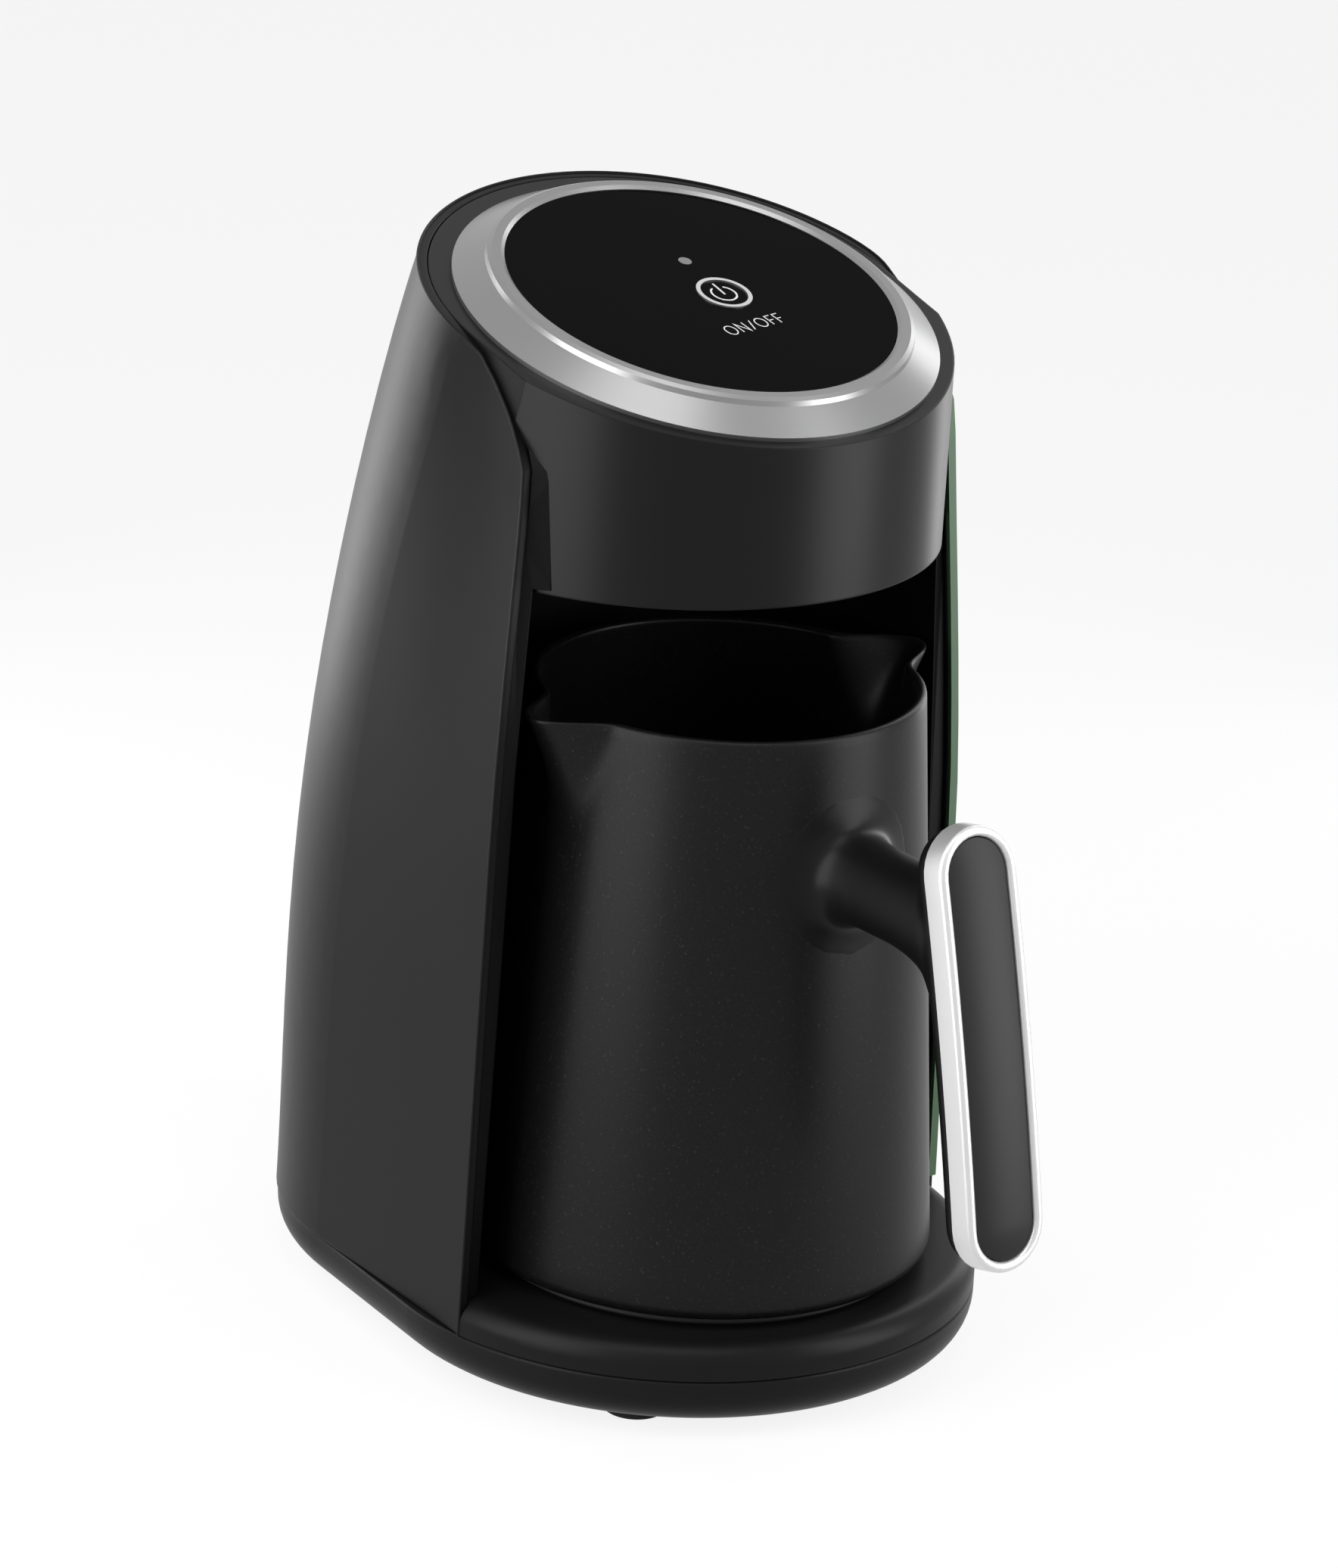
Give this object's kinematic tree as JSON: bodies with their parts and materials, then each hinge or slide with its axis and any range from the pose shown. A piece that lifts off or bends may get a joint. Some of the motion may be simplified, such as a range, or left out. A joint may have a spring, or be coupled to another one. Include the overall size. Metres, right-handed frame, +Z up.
{
  "type": "electric turkish coffee maker",
  "caption": "Compact electric turkish coffee maker: slanted head over an open bay, heater base, and a tapered lift-off pot with spouts and an upright handle.",
  "frame": {"origin": "on the table under the middle of the whole object, pot in place", "axes": "+Z up, -Y towards the open bay and the pot's handle, +X to the right seen from the front"},
  "size_m": [0.1312, 0.2133, 0.2401],
  "materials": {
    "dark_shell": "satin black moulded plastic",
    "cover_paint": "semi-gloss dark grey moulded plastic",
    "dark_frame": "satin black moulded plastic",
    "dark_head": "satin black moulded plastic",
    "edge_green": "muted green edge",
    "foot_rubber": "matt",
    "screw_steel": "plain zinc",
    "plate_metal": "dark coated cast plate",
    "seal_rubber": "matt silicone",
    "element_steel": "plain",
    "switch_plastic": "matt",
    "lens_smoke": "smoked window",
    "ring_silver": "satin silver",
    "panel_gloss": "gloss black",
    "mark_silver": "bright",
    "lamp_grey": "grey lamp window",
    "board_green": "circuit board",
    "pot_coating": "satin black coating on steel",
    "handle_black": "satin black",
    "band_silver": "satin silver lacquer",
    "inlay_grey": "satin dark grey"
  },
  "bodies": {
    "machine": {"base_tray": "dark_shell", "base_deck": "dark_shell", "feet": "foot_rubber", "base_screws": "screw_steel", "heater_plate": "plate_metal", "plate_seal": "seal_rubber", "heating_element": "element_steel", "thermostat": "switch_plastic", "thermal_fuse": "element_steel", "bay_frame": "dark_frame", "outer_cover": "cover_paint", "cover_edge_trim": "edge_green", "head_housing": "dark_head", "head_ceiling": "dark_frame", "foam_sensor": "lens_smoke", "top_ring": "ring_silver", "top_panel": "panel_gloss", "button_ring": "mark_silver", "lamp_lens": "lamp_grey", "control_board": "board_green", "push_switch": "switch_plastic", "power_board": "board_green", "cord_inlet": "switch_plastic"},
    "button": {"power_button": "panel_gloss"},
    "pot": {"pot_body": "pot_coating", "handle_screw": "screw_steel", "handle_core": "handle_black", "handle_band": "band_silver", "handle_inlay": "inlay_grey"}
  },
  "joints": [
    {"name": "pot_lift_out", "type": "slide", "parent": "machine", "child": "pot", "axis": [0, -1, 0], "range_m": [0, 0.14]},
    {"name": "button_press", "type": "slide", "parent": "machine", "child": "button", "axis": [0, 0.2639, -0.9646], "range_m": [0, 0.0008], "stiffness_N_per_m": 600, "springref_m": -0.0005}
  ]
}
